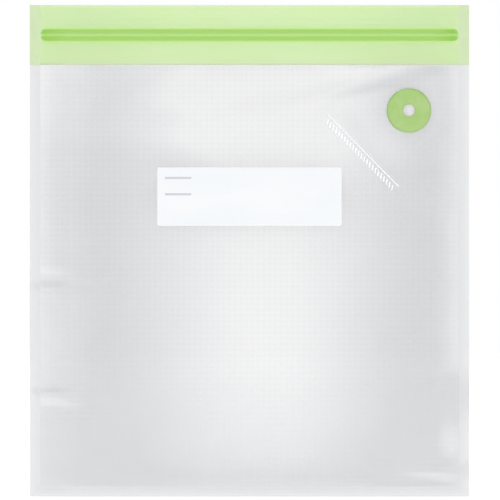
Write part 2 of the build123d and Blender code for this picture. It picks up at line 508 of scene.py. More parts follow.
def shell(name, columns, rows, outer, inner, keep, side):
    """A closed sheet from two grids of points (rows along z, columns along x).

    keep marks the grid cells that are filled.
    """
    nz, nx = len(rows), len(columns)
    used = np.zeros((nz, nx), bool)
    for j in (0, 1):
        for i in (0, 1):
            used[j : j + nz - 1, i : i + nx - 1] |= keep
    count = int(used.sum())
    index = -np.ones((nz, nx), int)
    index[used] = np.arange(count)
    x, z = np.meshgrid(columns, rows)
    verts = np.concatenate([outer[used], inner[used]])
    rest = np.concatenate([np.stack([x[used], z[used]], 1)] * 2)
    corners = (index[:-1, :-1], index[:-1, 1:], index[1:, 1:], index[1:, :-1])
    quads = np.stack([corner[keep] for corner in corners], 1)
    if side > 0:
        quads = quads[:, [0, 3, 2, 1]]
    faces = [quads, quads[:, ::-1] + count]
    # walls along every edge that only one kept cell has
    padded = np.zeros((nz + 1, nx + 1), bool)
    padded[1:nz, 1:nx] = keep
    below, above = padded[0:nz, 1:nx], padded[1 : nz + 1, 1:nx]
    left, right = padded[1:nz, 0:nx], padded[1:nz, 1 : nx + 1]
    for mask, flip, step_z, step_x in (
        (above & ~below, False, 0, 1),
        (below & ~above, True, 0, 1),
        (right & ~left, True, 1, 0),
        (left & ~right, False, 1, 0),
    ):
        j, i = np.nonzero(mask)
        start, end = index[j, i], index[j + step_z, i + step_x]
        wall = np.stack([start, start + count, end + count, end], 1)
        faces.append(wall[:, ::-1] if flip != (side > 0) else wall)
    return mesh_object(name, verts, np.concatenate(faces).tolist(), rest)


def all_cells(columns, rows):
    return np.ones((len(rows) - 1, len(columns) - 1), bool)


def cell_centres(columns, rows):
    return np.meshgrid((columns[:-1] + columns[1:]) / 2, (rows[:-1] + rows[1:]) / 2)


def lines(*stops):
    """Grid lines through fixed stops: (start, step), (stop, step), ..., (end, None)."""
    out = []
    for (start, step), (end, _) in zip(stops[:-1], stops[1:]):
        count = max(1, int(round((end - start) / step)))
        out.extend(np.linspace(start, end, count + 1)[:-1])
    out.append(stops[-1][0])
    return np.array(out)


def pitch_lines(*stops):
    """Grid lines at every half pitch of the embossing and at the stops."""
    step = PITCH / 2.0
    out = np.arange(math.ceil(stops[0] / step), math.floor(stops[-1] / step) + 1) * step
    for stop in stops:
        out = out[np.abs(out - stop) > 0.3 * step]
    return np.sort(np.concatenate([out, np.array(stops, float)]))


# ------------------------------------------------------------------------------------
# Node materials
# ------------------------------------------------------------------------------------
def srgb(*rgb):
    """Linear colour from red, green and blue out of 255."""

    def linear(channel):
        channel = channel / 255.0
        return channel / 12.92 if channel <= 0.04045 else ((channel + 0.055) / 1.055) ** 2.4

    return (*map(linear, rgb), 1.0)


SHADE = srgb(120, 122, 126)  # neutral grey that darkens the clear film


class Tree:
    """A short way to write node materials."""

    def __init__(self, name):
        self.mat = bpy.data.materials.new(name)
        self.mat.use_nodes = True
        self.nodes = self.mat.node_tree.nodes
        self.links = self.mat.node_tree.links
        self.nodes.clear()
        self.out = self.node("OutputMaterial")

    def node(self, kind, **props):
        node = self.nodes.new("ShaderNode" + kind)
        for key, value in props.items():
            setattr(node, key, value)
        return node

    def put(self, socket, value):
        if isinstance(value, bpy.types.NodeSocket):
            self.links.new(value, socket)
        elif value is not None:
            socket.default_value = value

    def math(self, operation, first, second=None, clamp=False):
        node = self.node("Math", operation=operation, use_clamp=clamp)
        self.put(node.inputs[0], first)
        self.put(node.inputs[1], second)
        return node.outputs[0]

    def add(self, first, second, clamp=False):
        return self.math("ADD", first, second, clamp)

    def subtract(self, first, second):
        return self.math("SUBTRACT", first, second)

    def multiply(self, first, second):
        return self.math("MULTIPLY", first, second)

    def absolute(self, value):
        return self.math("ABSOLUTE", value)

    def length(self, first, second):
        """Length of the vector (first, second)."""
        squares = self.add(self.multiply(first, first), self.multiply(second, second))
        return self.math("SQRT", squares)

    def vector(self, operation, *values):
        node = self.node("VectorMath", operation=operation)
        for socket, value in zip(node.inputs, values):
            self.put(socket, value)
        return node

    def split(self, vector):
        """X, Y and Z of a vector."""
        node = self.node("SeparateXYZ")
        self.put(node.inputs[0], vector)
        return node.outputs

    def mix(self, factor, first, second):
        node = self.node("Mix", data_type="RGBA", blend_type="MIX")
        self.put(node.inputs[0], factor)
        self.put(node.inputs[6], first)
        self.put(node.inputs[7], second)
        return node.outputs[2]

    def pattern(self):
        """Place on the flat pattern, in mm, as a vector for textures."""
        uv = self.node("TexCoord").outputs["UV"]
        scale, origin = (PATTERN, PATTERN, 0.0), (-PATTERN / 2, 0.0, 0.0)
        return self.vector("MULTIPLY_ADD", uv, scale, origin).outputs[0]

    def place(self):
        """x and z on the flat pattern, in mm, and the vector they come from."""
        vector = self.pattern()
        parts = self.split(vector)
        return parts[0], parts[1], vector

    def object_mm(self, centre=None):
        """Place in the object's own space in mm, measured from centre (in metres)."""
        vector = self.node("TexCoord").outputs["Object"]
        if centre is not None:
            vector = self.vector("SUBTRACT", vector, centre).outputs[0]
        node = self.vector("SCALE", vector)
        node.inputs["Scale"].default_value = 1000.0
        return node.outputs[0]

    def noise(self, vector, size, detail=3.0, rough=0.5, stretch=(1, 1, 1)):
        """Noise with features about this size across, in the units of vector."""
        scaled = self.vector("MULTIPLY", vector, tuple(part / size for part in stretch))
        node = self.node("TexNoise")
        self.put(node.inputs["Vector"], scaled.outputs[0])
        node.inputs["Scale"].default_value = 1.0
        node.inputs["Detail"].default_value = detail
        node.inputs["Roughness"].default_value = rough
        return node.outputs["Fac"]

    def curve(self, value, over, to=(0.0, 1.0), kind="SMOOTHSTEP"):
        """Map value from the range over to the range to, easing in and out."""
        node = self.node("MapRange", interpolation_type=kind)
        self.put(node.inputs["Value"], value)
        node.inputs["From Min"].default_value = over[0]
        node.inputs["From Max"].default_value = over[1]
        node.inputs["To Min"].default_value = to[0]
        node.inputs["To Max"].default_value = to[1]
        return node.outputs["Result"]

    def line(self, value, over, to=(0.0, 1.0)):
        """The same in a straight line."""
        return self.curve(value, over, to, "LINEAR")

    def blob(self, x, z, centre_x, centre_z, radius_x, radius_z, turn):
        """A soft ellipse: 1 in its middle and 0 outside. turn is in degrees."""
        cos, sin = math.cos(math.radians(turn)), math.sin(math.radians(turn))
        dx = self.subtract(x, centre_x)
        dz = self.subtract(z, centre_z)
        long = self.add(self.multiply(dx, cos / radius_x), self.multiply(dz, sin / radius_x))
        wide = self.add(self.multiply(dx, -sin / radius_z), self.multiply(dz, cos / radius_z))
        return self.curve(self.length(long, wide), over=(0.0, 1.0), to=(1.0, 0.0))

    def spots(self, value, x, z, table, clamp=False):
        """Add a table of ellipses to value: the arguments of blob, then the amount."""
        for *shape, amount in table:
            spot = self.blob(x, z, *shape)
            value = self.add(value, self.multiply(spot, amount), clamp)
        return value

    def bump(self, height, strength, distance, normal=None):
        node = self.node("Bump")
        node.inputs["Strength"].default_value = strength
        node.inputs["Distance"].default_value = distance
        self.put(node.inputs["Height"], height)
        self.put(node.inputs["Normal"], normal)
        return node.outputs["Normal"]

    def facing_alpha(self, low, high):
        """More solid where the sheet is seen edge on."""
        layer = self.node("LayerWeight")
        layer.inputs["Blend"].default_value = 0.35
        return self.line(layer.outputs["Facing"], over=(0.0, 1.0), to=(low, high))

    def finish(self, color, rough, alpha=None, normal=None, spec=0.5, coat=0.0,
               coat_rough=0.2, emission=None, glow=0.0):
        """Close the material with one glossy surface, see-through where alpha is given."""
        surface = self.node("BsdfPrincipled")
        values = {
            "Base Color": color,
            "Roughness": rough,
            "Specular IOR Level": spec,
            "Coat Weight": coat,
            "Coat Roughness": coat_rough,
            "Normal": normal,
            "Coat Normal": normal,
        }
        if emission is not None:
            values["Emission Color"] = emission
            values["Emission Strength"] = glow
        for key, value in values.items():
            self.put(surface.inputs[key], value)
        shader = surface.outputs[0]
        if alpha is not None:
            clear = self.node("BsdfTransparent")
            blend = self.node("MixShader")
            self.put(blend.inputs[0], alpha)
            self.put(blend.inputs[1], clear.outputs[0])
            self.put(blend.inputs[2], shader)
            shader = blend.outputs[0]
        self.put(self.out.inputs[0], shader)
        return self.mat


# ------------------------------------------------------------------------------------
# Film, seal and header band materials
# ------------------------------------------------------------------------------------
# Painted highlights and painted shade where folds run in from the seals, and broader ones on the upper wall.
# Each row: centre x, centre z, radius along, radius across, turn in degrees, amount.
PAINTED_LIGHT_SPOTS = (
    (-117.0, 133.5, 20.0, 4.6, -4.0, 0.34),
    (-119.0, 126.0, 17.0, 3.6, 0.0, -0.42),
    (-118.0, 63.0, 18.0, 3.2, 0.0, -0.42),
    (-114.0, 55.5, 22.0, 4.4, -7.0, 0.52),
    (119.0, 32.0, 10.0, 15.0, 16.0, 0.42),
    (107.0, 12.4, 27.0, 3.8, -4.0, 0.66),
    (100.0, 7.2, 36.0, 2.2, 0.0, -0.26),
    (124.0, 60.0, 15.0, 22.0, 4.0, -0.80),
    (112.0, 20.0, 16.0, 4.0, 6.0, -0.20),
    (80.0, 252.4, 62.0, 5.8, 12.5, 0.80),
    (66.0, 240.4, 64.0, 4.8, 13.0, -0.52),
    (84.0, 206.0, 26.0, 20.0, -30.0, 0.22),
    (6.0, 240.0, 100.0, 22.0, 4.0, 0.34),
    (-26.0, 212.0, 74.0, 14.0, -7.0, 0.22),
    (-92.0, 176.0, 34.0, 30.0, -10.0, -0.12),
    (-96.0, 240.0, 40.0, 30.0, 0.0, -0.18),
    (-113.0, 232.0, 15.0, 28.0, 0.0, -0.14),
    (-50.0, 224.0, 34.0, 20.0, 0.0, -0.10),
    (106.0, 240.0, 30.0, 26.0, 0.0, 0.18),
    (8.0, 20.0, 96.0, 17.0, 0.0, 0.14),
)
# Painted shade on the clear seal, in the same columns as the film's painted shade.
SEAL_SHADE_SPOTS = (
    (130.0, 60.0, 14.0, 24.0, 0.0, 0.9),
    (130.0, 16.0, 12.0, 9.0, 0.0, 0.8),
    (-125.0, 62.5, 8.0, 4.5, 0.0, 0.8),
    (-125.0, 124.5, 8.0, 5.5, 0.0, 0.6),
)
# Film and seal fade over these distances from their shared edge, as they are one piece.
FADE_START, FADE_END = 0.003, 0.012


def painted_light_and_shade(t, x, z):
    """Painted light and shade: the slow light and dark areas of a laid, slightly filled film, painted into
    its colour. 1 is painted light, 0 is painted shade.
    """
    column = t.multiply(
        t.curve(x, over=(-92.0, 2.0)), t.curve(x, over=(18.0, 104.0), to=(1.0, 0.0))
    )
    foot = t.multiply(
        t.curve(z, over=(6.0, 44.0), to=(0.34, 1.0)),
        t.curve(z, over=(34.0, 80.0), to=(0.90, 1.0)),
    )
    value = t.multiply(column, foot)
    # painted light: the upper part is lighter, above folds that run down from the seals
    tilted = t.add(z, t.multiply(x, 0.16))
    upper = t.curve(tilted, over=(186.0, 214.0))
    upper = t.multiply(upper, t.curve(x, over=(100.0, 50.0)))
    value = t.add(value, t.multiply(upper, 0.34))
    # painted highlight: towards the side seals the film lies flat again and brightens
    near = t.curve(z, over=(20.0, 90.0), to=(0.60, 1.0))
    left = t.curve(x, over=(-84.0, -121.0), to=(0.0, 0.50))
    right = t.curve(x, over=(103.0, 123.5), to=(0.0, 0.54))
    value = t.add(value, t.multiply(near, t.add(left, right)))
    value = t.add(value, t.curve(x, over=(-114.0, -124.0), to=(0.0, 0.12)))
    # towards the bottom seal as well
    value = t.add(value, t.curve(z, over=(12.0, 5.5), to=(0.0, 0.20)))
    # painted shade: the lowest part is turned slightly away from the light
    value = t.subtract(value, t.curve(z, over=(88.0, 40.0), to=(0.0, 0.13)))
    return t.spots(value, x, z, PAINTED_LIGHT_SPOTS)


def short_of_sides(t, x):
    """1 between the side seals, fading out just before them."""
    edge = (INNER - FADE_END, INNER - FADE_START)
    return t.line(t.absolute(x), over=edge, to=(1.0, 0.0))


def film_material(name, alpha_low, alpha_high, embossed):
    t = Tree(name)
    x, z, vector = t.place()
    broad = t.noise(vector, size=60.0, detail=2.0)
    fine = t.noise(vector, size=9.0, detail=4.0, rough=0.6)
    value = painted_light_and_shade(t, x, z)
    # fine variation stays visible in the lightest and the darkest areas
    value = t.line(value, over=(0.0, 1.0), to=(0.05, 0.97))
    value = t.add(value, t.line(broad, over=(0.35, 0.65), to=(-0.03, 0.03)))
    streak = t.noise(vector, size=3.4, rough=0.6, stretch=(1.0, 0.05, 1.0))
    value = t.add(value, t.line(streak, over=(0.3, 0.7), to=(-0.016, 0.016)))
    value = t.add(value, t.line(fine, over=(0.3, 0.7), to=(-0.01, 0.01)), clamp=True)
    # the film's colour is mixed between a shaded and a lit grey by the painted light and shade
    color = t.mix(value, srgb(221, 222, 225), srgb(254, 254, 255))
    # painted shade: a little darker towards the bottom
    color = t.mix(t.curve(z, over=(92.0, 48.0), to=(0.0, 0.018)), color, SHADE)
    rough = t.line(fine, over=(0.3, 0.7), to=(0.29, 0.36))
    micro = t.noise(vector, size=3.2, rough=0.55)
    normal = t.bump(micro, strength=0.02, distance=0.0004)
    alpha = t.facing_alpha(alpha_low, alpha_high)
    if embossed:
        # raised lines of the lattice
        raised = []
        for place in (x, z):
            swing = t.math("COSINE", t.multiply(place, math.pi / PITCH))
            raised.append(t.math("POWER", t.absolute(swing), 6.0))
        lattice = t.math("MAXIMUM", *raised)
        normal = t.bump(lattice, strength=0.12, distance=0.00010, normal=normal)
        # painted shade in the cells between the raised lines, a little stronger where the film is painted
        # darker
        shade = t.multiply(
            t.line(lattice, over=(0.0, 1.0), to=(1.0, 0.0)),
            t.line(value, over=(0.0, 1.0), to=(0.052, 0.036)),
        )
        color = t.mix(shade, color, SHADE)
        alpha = t.add(alpha, t.multiply(lattice, 0.02), clamp=True)
    # the end faces where the film runs into the seal are one piece with it
    above_foot = t.line(z, over=(FOOT + FADE_START, FOOT + FADE_END))
    alpha = t.multiply(alpha, t.multiply(short_of_sides(t, x), above_foot))
    # the lap behind the header is welded into it and can't be made out
    lap = t.line(z, over=(BAND_Z - 0.4, BAND_Z + 0.1), to=(1.0, 0.0))
    alpha = t.multiply(alpha, lap)
    if embossed:
        return t.finish(color, t.add(rough, 0.16), alpha, normal, spec=0.3)
    return t.finish(color, rough, alpha, normal, spec=0.9, coat=0.8, coat_rough=0.28)


def seal_material(name, tinted):
    t = Tree(name)
    x, z, vector = t.place()
    fine = t.noise(vector, size=5.0)
    ribs = [t.math("SINE", t.multiply(place, 2 * math.pi / 1.1)) for place in (z, x)]
    normal = t.bump(t.multiply(*ribs), strength=0.2, distance=0.0001)
    alpha = t.facing_alpha(0.5, 0.95)
    outside = t.line(t.absolute(x), over=(INNER + FADE_START, INNER + FADE_END))
    under = t.line(z, over=(FOOT - FADE_END, FOOT - FADE_START), to=(1.0, 0.0))
    alpha = t.multiply(alpha, t.math("MAXIMUM", outside, under))
    if tinted:
        grain = t.line(fine, over=(0.3, 0.7))
        color = t.mix(grain, srgb(205, 233, 161), srgb(200, 229, 153))
    else:
        # painted light and shade: the trimmed edge is painted whiter than the inside of the seal, which
        # darkens towards the film's painted shade
        from_edge = t.subtract(HALF, t.absolute(x))
        depth = t.math(
            "MINIMUM",
            t.line(from_edge, over=(0.0, 6.5), to=(0.0, 0.62)),
            t.line(z, over=(0.8, 6.5)),
        )
        depth = t.spots(depth, x, z, SEAL_SHADE_SPOTS, clamp=True)
        color = t.mix(depth, srgb(238, 239, 241), srgb(217, 218, 221))
        grain = t.line(fine, over=(0.3, 0.7), to=(0.0, 0.25))
        color = t.mix(grain, color, srgb(226, 229, 233))
        # painted shade: a little darker towards the bottom, as on the film
        color = t.mix(t.curve(z, over=(92.0, 48.0), to=(0.0, 0.02)), color, SHADE)
    return t.finish(color, 0.34, alpha, normal, spec=0.7, coat=0.4, coat_rough=0.3)


def band_material(name):
    t = Tree(name)
    x, z, vector = t.place()
    streak = t.noise(vector, size=14.0, detail=4.0, rough=0.6, stretch=(0.12, 1.0, 1.0))
    fine = t.noise(vector, size=2.4, rough=0.6)
    cloud = t.noise(vector, size=45.0, detail=2.0)
    color = t.mix(t.line(streak, over=(0.3, 0.7)), srgb(217, 247, 162), srgb(223, 250, 173))
    cloudy = t.line(cloud, over=(0.35, 0.65), to=(0.0, 0.3))
    color = t.mix(cloudy, color, srgb(226, 251, 190))
    # painted shade: deeper in colour towards the ends, where the film's shaded sides show through, but not
    # at the side seals
    ends = t.curve(t.absolute(x), over=(40.0, 104.0), to=(0.0, 0.30))
    ends = t.multiply(ends, t.curve(t.absolute(x), over=(108.0, 118.0), to=(1.0, 0.0)))
    color = t.mix(ends, color, srgb(196, 232, 142))
    # painted highlight: the rim of the mouth is a little brighter
    rim = t.curve(z, over=(TOP - 3.0, TOP - 0.3), to=(0.0, 0.55))
    color = t.mix(rim, color, srgb(228, 252, 192))
    # and a painted highlight along its lower edge, where it catches the light
    lower = t.curve(z, over=(BAND_Z + 2.2, BAND_Z + 0.2), to=(0.0, 0.75))
    color = t.mix(lower, color, srgb(240, 252, 222))
    # painted highlight: a lighter green line just outside the zip flange, where the weld bead catches the
    # light
    beyond = t.math("MAXIMUM", t.subtract(t.absolute(x), ZIP_STRAIGHT), 0.0)
    from_zip = t.length(beyond, t.subtract(z, ZIP_Z))
    glow = t.curve(from_zip, over=(4.9, 3.9), to=(0.0, 0.75))
    color = t.mix(glow, color, srgb(216, 254, 146))
    # where the zip is welded on, the two plastics read as one, deeper in colour
    weld = t.multiply(
        t.curve(from_zip, over=(3.8, 3.2)),
        t.curve(from_zip, over=(0.4, 0.9), to=(0.30, 1.0)),
    )
    color = t.mix(t.multiply(weld, 0.85), color, srgb(213, 248, 129))
    normal = t.bump(fine, strength=0.10, distance=0.0003)
    normal = t.bump(streak, strength=0.18, distance=0.0008, normal=normal)
    alpha = t.facing_alpha(0.36, 0.85)
    alpha = t.multiply(alpha, short_of_sides(t, x))
    return t.finish(color, 0.33, alpha, normal, spec=0.7, coat=0.5, coat_rough=0.26)


# ------------------------------------------------------------------------------------
# Zip, valve and label materials
# ------------------------------------------------------------------------------------
def zip_material(name):
    t = Tree(name)
    _, z, vector = t.place()
    from_middle = t.absolute(t.subtract(z, ZIP_Z))
    rail = t.multiply(
        t.curve(from_middle, over=(0.55, 0.9)),
        t.curve(from_middle, over=(3.15, 3.75), to=(1.0, 0.0)),
    )
    web = t.curve(from_middle, over=(0.6, 0.95), to=(1.0, 0.0))
    fine = t.noise(vector, size=3.0, stretch=(0.15, 1, 1))
    thin, thick = srgb(208, 250, 128), srgb(94, 175, 12)
    color = t.mix(rail, thin, thick)
    color = t.mix(t.multiply(web, 0.75), color, srgb(146, 213, 42))
    color = t.mix(t.line(fine, over=(0.3, 0.7), to=(0.0, 0.15)), color, srgb(120, 200, 30))
    alpha = t.line(rail, over=(0.0, 1.0), to=(0.30, 0.78))
    normal = t.bump(fine, strength=0.12, distance=0.0003)
    # painted light: thick translucent plastic carries light through itself, and that light is painted in as
    # a little glow
    return t.finish(color, 0.24, alpha, normal, spec=0.5, coat=0.2, coat_rough=0.15,
                    emission=color, glow=0.30)


def valve_material(name):
    t = Tree(name)
    vector = t.object_mm(centre=(VALVE[0] * MM, 0.0, VALVE[1] * MM))
    parts = t.split(vector)
    radius = t.length(parts[0], parts[2])
    cloud = t.noise(vector, size=7.0, detail=4.0, rough=0.6)
    grain = t.noise(vector, size=0.7, rough=0.6)
    color = t.mix(t.line(cloud, over=(0.3, 0.7)), srgb(164, 205, 112), srgb(183, 212, 140))
    # darker at the rim and round the hole
    rim = t.curve(radius, over=(11.6, 13.0), to=(0.0, 0.35))
    hole = t.curve(radius, over=(3.5, 4.6), to=(0.35, 0.0))
    color = t.mix(t.add(rim, hole, clamp=True), color, srgb(140, 186, 92))
    rings = t.math("SINE", t.multiply(radius, 2 * math.pi / 1.6))
    normal = t.bump(rings, strength=0.10, distance=0.0002)
    normal = t.bump(grain, strength=0.12, distance=0.0001, normal=normal)
    rough = t.line(cloud, over=(0.3, 0.7), to=(0.42, 0.55))
    return t.finish(color, rough, normal=normal, spec=0.45)


def clear_material(name, base, alpha, glow=0.0):
    t = Tree(name)
    cloud = t.noise(t.object_mm(), size=2.0)
    lighter = [min(255, channel + 12) for channel in base]
    color = t.mix(t.line(cloud, over=(0.3, 0.7)), srgb(*base), srgb(*lighter))
    normal = t.bump(cloud, strength=0.15, distance=0.0002)
    # glow is painted light, standing in for light let through the clear plastic
    return t.finish(color, 0.28, alpha, normal, spec=0.6, emission=color, glow=glow)


def label_material(name):
    t = Tree(name)
    vector = t.pattern()
    fibre = t.noise(vector, size=1.2, detail=4.0, rough=0.65)
    cloud = t.noise(vector, size=30.0, stretch=(0.5, 1.6, 1))
    color = t.mix(t.line(cloud, over=(0.35, 0.65)), srgb(248, 252, 255), srgb(253, 254, 255))
    fibrous = t.line(fibre, over=(0.4, 0.75), to=(0.0, 0.10))
    color = t.mix(fibrous, color, srgb(230, 236, 246))
    normal = t.bump(fibre, strength=0.10, distance=0.0001)
    normal = t.bump(cloud, strength=0.15, distance=0.0008, normal=normal)
    return t.finish(color, 0.55, normal=normal, spec=0.35)


def ink_material(name, dark, light, rough=0.5, glow=0.0):
    t = Tree(name)
    grain = t.noise(t.pattern(), size=0.8, rough=0.6)
    color = t.mix(t.line(grain, over=(0.35, 0.65)), srgb(*dark), srgb(*light))
    normal = t.bump(grain, strength=0.1, distance=0.00005)
    return t.finish(color, rough, normal=normal, spec=0.3, emission=color, glow=glow)


film_mats = {
    -1: film_material("clear_film", alpha_low=0.14, alpha_high=0.78, embossed=False),
    1: film_material("embossed_film", alpha_low=0.37, alpha_high=0.86, embossed=True),
}
seal_mat = seal_material("fused_film", tinted=False)
seal_green_mat = seal_material("fused_tinted_film", tinted=True)
band_mat = band_material("tinted_film")
zip_mat = zip_material("zip_plastic")
valve_mat = valve_material("valve_plastic")
# the membrane and the seat glow a little: painted light that lifts them out of the shade in the valve's
# recess
membrane_mat = clear_material("valve_membrane_clear", (246, 239, 247), alpha=0.7, glow=0.08)
seat_mat = clear_material("valve_seat_clear", (226, 222, 230), alpha=0.75, glow=0.06)
adhesive_mat = clear_material("valve_adhesive_clear", (222, 222, 218), alpha=0.7)
label_mat = label_material("label_film")
bar_mat = ink_material("label_print", (206, 209, 215), (216, 218, 223))
# the fill line's ink glows a little: painted light that keeps it white on the shaded film
ink_mat = ink_material("fill_line_ink", (252, 252, 252), (246, 248, 250), rough=0.4, glow=0.22)


# ------------------------------------------------------------------------------------
# Walls: each is a middle sheet and a rim sheet cut from one grid
# ------------------------------------------------------------------------------------
VALVE_HOLE_R = 5.0  # hole in the front film behind the valve
LEAST_GAP = 0.01  # least thickness of film, and its least distance from the middle


def wall_sheets(side):
    if side < 0:
        columns = lines((-INNER, 1.3), (-PLATEAU, 1.5), (PLATEAU, 1.3), (INNER, None))
        rows = lines((FOOT, 1.5), (MIDDLE_TOP, 1.3), (BAND_Z, 1.2), (LAP_Z, None))
        x, z = np.meshgrid(columns, rows)
        outer = wall_point(x, z, side)
    else:
        columns = pitch_lines(-INNER, -PLATEAU, PLATEAU, INNER)
        rows = pitch_lines(FOOT, MIDDLE_TOP, BAND_Z, LAP_Z)
        x, z = np.meshgrid(columns, rows)
        bumps = 0.04 * np.sin(x * math.pi / PITCH) ** 2 * np.sin(z * math.pi / PITCH) ** 2
        outer = wall_point(x, z, side, emboss=bumps)
    inner = outer + np.array([0.0, -side * FILM_T, 0.0])
    # where the two walls are pressed together at the header ends, the lap thins out
    depth = np.maximum(side * inner[..., 1], side * edge_wave(x, z) + LEAST_GAP)
    inner[..., 1] = side * np.minimum(depth, side * outer[..., 1] - LEAST_GAP)
    cell_x, cell_z = cell_centres(columns, rows)
    in_middle = (np.abs(cell_x) < PLATEAU) & (cell_z < MIDDLE_TOP)
    in_rim = ~in_middle
    if side < 0:
        in_middle &= valve_distance(cell_x, cell_z) >= VALVE_HOLE_R
    tag = TAGS[side]
    middle = shell(f"film_{tag}_middle", columns, rows, outer, inner, in_middle, side)
    rim = shell(f"film_{tag}_rim", columns, rows, outer, inner, in_rim, side)
    give(middle, film_mats[side])
    give(rim, film_mats[side])
    bend_with_fill(middle, side)
    bend_from_seal(rim, side)
    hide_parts(f"{tag}_film_panel")
    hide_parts(f"{tag}_film")


wall_sheets(-1)
wall_sheets(1)


# ------------------------------------------------------------------------------------
# Heat seal: a fused, rippled border, thicker and tinted beside the header
# ------------------------------------------------------------------------------------
def seal_sheets():
    columns = lines((-HALF, 1.5), (-INNER, 2.5), (INNER, 1.5), (HALF, None))
    rows = lines((0.0, 1.5), (FOOT, 2.0), (BAND_Z, 2.0), (TOP, None))
    x, z = np.meshgrid(columns, rows)
    # distance from the inner edge of the seal
    depth = np.maximum(np.abs(x) - INNER, FOOT - z)
    thick = 0.2 - 0.03 * ease(depth - 3.0, over=3.0)
    # the fused film draws in a little and ripples
    ripple = 0.05 * np.sin(z / 3.1 + x / 5.0) * np.sin(x / 3.7 + 0.5)
    wave = edge_wave(x, z)
    front = np.stack([x, -thick + wave + ripple, z], -1)
    back = np.stack([x, thick + wave + ripple, z], -1)
    cell_x, cell_z = cell_centres(columns, rows)
    border = (np.abs(cell_x) > INNER) | (cell_z < FOOT)

    keep = border & (cell_z < BAND_Z)
    seal = shell("heat_seal_border", columns, rows, front, back, keep, -1)
    give(seal, seal_mat)
    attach(seal, "seal_frame")
    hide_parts("heat_seal")

    front[..., 1] -= 0.03
    back[..., 1] += 0.03
    keep = border & (cell_z > BAND_Z)
    ends = shell("heat_seal_header_ends", columns, rows, front, back, keep, -1)
    give(ends, seal_green_mat)
    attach(ends, "seal_frame")


seal_sheets()


# ------------------------------------------------------------------------------------
# Header bands
# ------------------------------------------------------------------------------------
def band_sheet(side):
    columns = lines((-INNER, 1.3), (-PLATEAU, 2.4), (PLATEAU, 1.3), (INNER, None))
    rows = lines((BAND_Z, 1.0), (TOP, None))
    x, z = np.meshgrid(columns, rows)
    # weld beads over the edges of the zip flange, following its rounded ends
    from_zip = np.hypot(np.maximum(np.abs(x) - ZIP_STRAIGHT, 0.0), z - ZIP_Z)
    bead = 0.16 * np.exp(-(((from_zip - 4.3) / 0.7) ** 2)) + 0.10 * (from_zip < 3.6)
    # the mouth edge curls out slightly and the film between welds is never flat
    lip = 0.35 * ease(z - (TOP - 8.0), over=8.0) * squeeze(x)
    slack = 0.10 * np.sin(x / 21.0 + 0.7) * np.sin((z - BAND_Z) / 7.0)
    slack += 0.05 * np.sin(x / 6.5 + z / 4.0)
    slack *= squeeze(x) * ease(z - BAND_Z, over=3.0)
    if side > 0:
        slack = -slack * 0.8
    height = header_height(x) + 0.02 + bead * squeeze(x) + np.maximum(slack, -0.015) + lip
    wave = edge_wave(x, z)
    inner = np.stack([x, side * height + wave, z], -1)
    outer = np.stack([x, side * (height + FILM_T) + wave, z], -1)
    tag = TAGS[side]
    keep = all_cells(columns, rows)
    obj = shell(f"header_band_{tag}", columns, rows, outer, inner, keep, side)
    give(obj, band_mat)
    bend_from_seal(obj, side)
    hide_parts(f"{tag}_header_band")


band_sheet(-1)
band_sheet(1)


# ------------------------------------------------------------------------------------
# Zip tracks: a swept profile with rounded ends, crushed flat at the side seals
# ------------------------------------------------------------------------------------
RAIL_Z = 2.05  # the two rails of a track lie this far below and above its middle
FLANGE_FACE, FLANGE_BACK = 0.8, 1.2  # distances of a flange's faces from the middle plane
RIB_HEAD_Y, RIB_HEAD_R = -0.15, 0.45

# A grooved rail on the inner face of its flange: (y, z from the rail's middle).
JAW = (
    (-0.8, -1.3), (0.40, -1.3), (0.55, -1.1), (0.55, -0.48), (0.25, -0.55),
    (0.2, -0.65), (-0.72, -0.65), (-0.72, 0.65), (0.2, 0.65), (0.25, 0.55),
    (0.55, 0.48), (0.55, 1.1), (0.40, 1.3), (-0.8, 1.3),
)
# A beaded rib in the same columns. Its round head goes from below to above by way of its tip.
RIB = (
    (0.8, -0.25),
    (0.22, -0.25),
    *(
        (RIB_HEAD_Y + RIB_HEAD_R * math.cos(angle), RIB_HEAD_R * math.sin(angle))
        for angle in np.linspace(math.radians(-34), math.radians(-326), 11)
    ),
    (0.22, 0.25),
    (0.8, 0.25),
)


def track_profile(rail, side):
    """Closed (y, z) outline of a flange with two rails standing on its inner face."""
    face, back = side * FLANGE_FACE, side * FLANGE_BACK
    points = [(back, -FLANGE_HALF), (face, -FLANGE_HALF)]
    for middle in (-RAIL_Z, RAIL_Z):
        points.extend((y, middle + z) for y, z in rail)
    return points + [(face, FLANGE_HALF), (back, FLANGE_HALF)]


def rounded(points, radius=0.12, steps=3):
    """Round the corners of a closed profile."""
    out = []
    count = len(points)
    for k in range(count):
        before, corner, after = (
            np.array(points[(k + shift) % count], float) for shift in (-1, 0, 1)
        )
        back, ahead = before - corner, after - corner
        back_length, ahead_length = np.linalg.norm(back), np.linalg.norm(ahead)
        cut = min(radius, back_length * 0.45, ahead_length * 0.45)
        start = corner + back / back_length * cut
        end = corner + ahead / ahead_length * cut
        for i in range(steps + 1):
            t = i / steps
            out.append((1 - t) ** 2 * start + 2 * t * (1 - t) * corner + t * t * end)
    return np.array(out)


